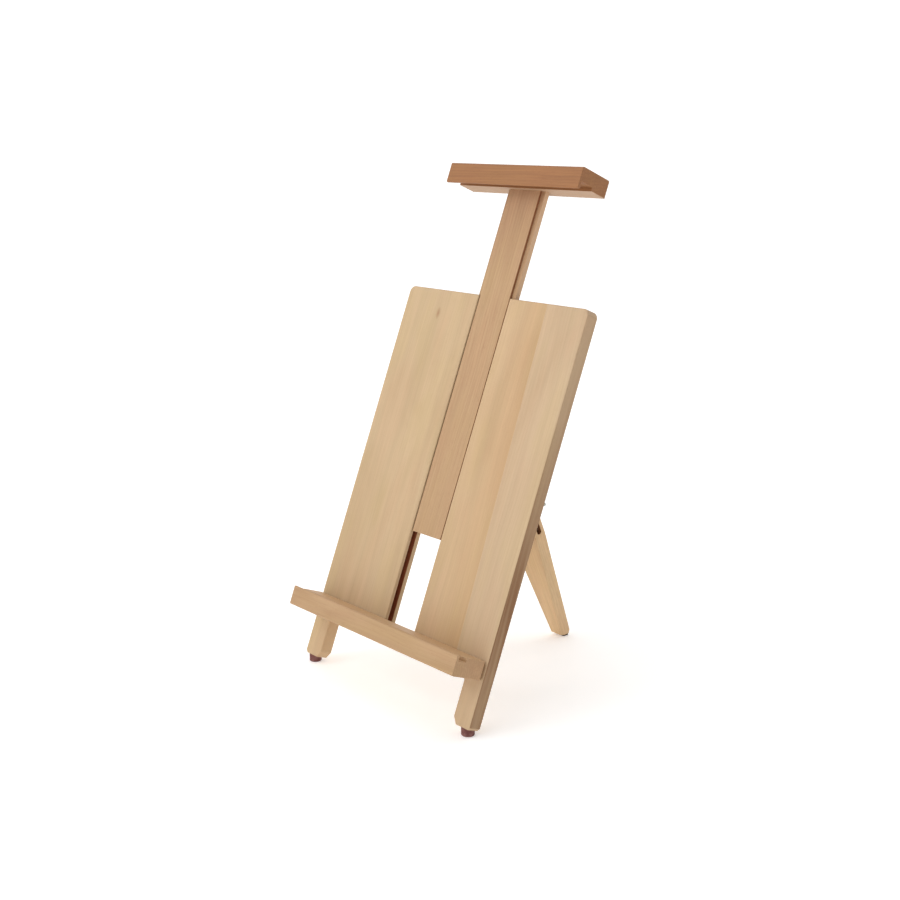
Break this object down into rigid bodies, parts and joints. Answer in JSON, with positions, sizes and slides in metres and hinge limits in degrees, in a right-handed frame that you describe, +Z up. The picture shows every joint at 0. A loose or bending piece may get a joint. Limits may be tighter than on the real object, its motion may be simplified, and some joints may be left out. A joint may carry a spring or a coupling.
{
  "type": "tabletop easel",
  "caption": "Wooden tabletop easel: grooved panel boards with a canvas ledge, a sliding mast with a top bar, and a folding rear leg held by slotted steel stays.",
  "frame": {"origin": "on the floor, in the middle of the ground that the easel covers", "axes": "+Z up; the easel faces -Y; +X is to the right of a painter who looks at it"},
  "size_m": [0.3, 0.3274, 0.5982],
  "materials": {
    "board_wood": "oiled beech",
    "mast_wood": "oiled beech",
    "trim_wood": "oiled beech",
    "rail_wood": "oiled beech",
    "leg_wood": "oiled beech",
    "foot_rubber": "matt dark rubber",
    "steel": "zinc plated",
    "brass_insert": "plain brass",
    "knob_plastic": "fine textured black"
  },
  "bodies": {
    "panel": {"left_board": "board_wood", "right_board_outer_stave": "board_wood", "right_board_inner_stave": "board_wood", "ledge": "trim_wood", "ledge_screws": "steel", "bottom_rail": "rail_wood", "stay_rail": "rail_wood", "hinge_rail": "rail_wood", "clamp_rail": "rail_wood", "rail_screws": "steel", "left_cheek": "rail_wood", "right_cheek": "rail_wood", "cheek_screws": "steel", "clamp_insert": "brass_insert", "hinge_bolt": "steel", "hinge_nut": "steel", "hinge_washers": "steel", "hinge_spacers": "steel", "left_foot_pad": "foot_rubber", "right_foot_pad": "foot_rubber", "foot_pad_nails": "steel"},
    "mast": {"mast": "mast_wood", "top_bar": "trim_wood", "top_bar_screws": "steel"},
    "leg": {"rear_leg": "leg_wood", "leg_pad": "foot_rubber"},
    "stay": {"left_stay_arm": "steel", "right_stay_arm": "steel", "stay_pins": "steel", "stay_pin_caps": "steel", "slot_bolt": "steel", "slot_washers": "steel"},
    "wing_nut": {"wing_nut": "steel"},
    "clamp": {"clamp_screw": "steel", "clamp_knob": "knob_plastic"}
  },
  "joints": [
    {"name": "mast_slide", "type": "slide", "parent": "panel", "child": "mast", "axis": [0, 0.3689, 0.9295], "range_m": [-0.129, 0.12]},
    {"name": "leg_fold", "type": "hinge", "parent": "panel", "child": "leg", "pos_m": [0, 0.02459, 0.30128], "axis": [1, 0, 0], "range_deg": [-45.52, 6]},
    {"name": "stay_swing", "type": "hinge", "parent": "panel", "child": "stay", "pos_m": [0, 0.00451, 0.22576], "axis": [1, 0, 0], "range_deg": [-91.1, 12.1]},
    {"name": "wing_nut_turn", "type": "hinge", "parent": "stay", "child": "wing_nut", "pos_m": [0, 0.0739, 0.18983], "axis": [1, 0, 0], "continuous": true},
    {"name": "clamp_turn", "type": "hinge", "parent": "panel", "child": "clamp", "pos_m": [0, 0.05208, 0.39494], "axis": [0, 0.9295, -0.3689], "continuous": true}
  ],
  "couplings": [
    {"joint": "stay_swing", "follows": "leg_fold", "ratio": 2}
  ]
}
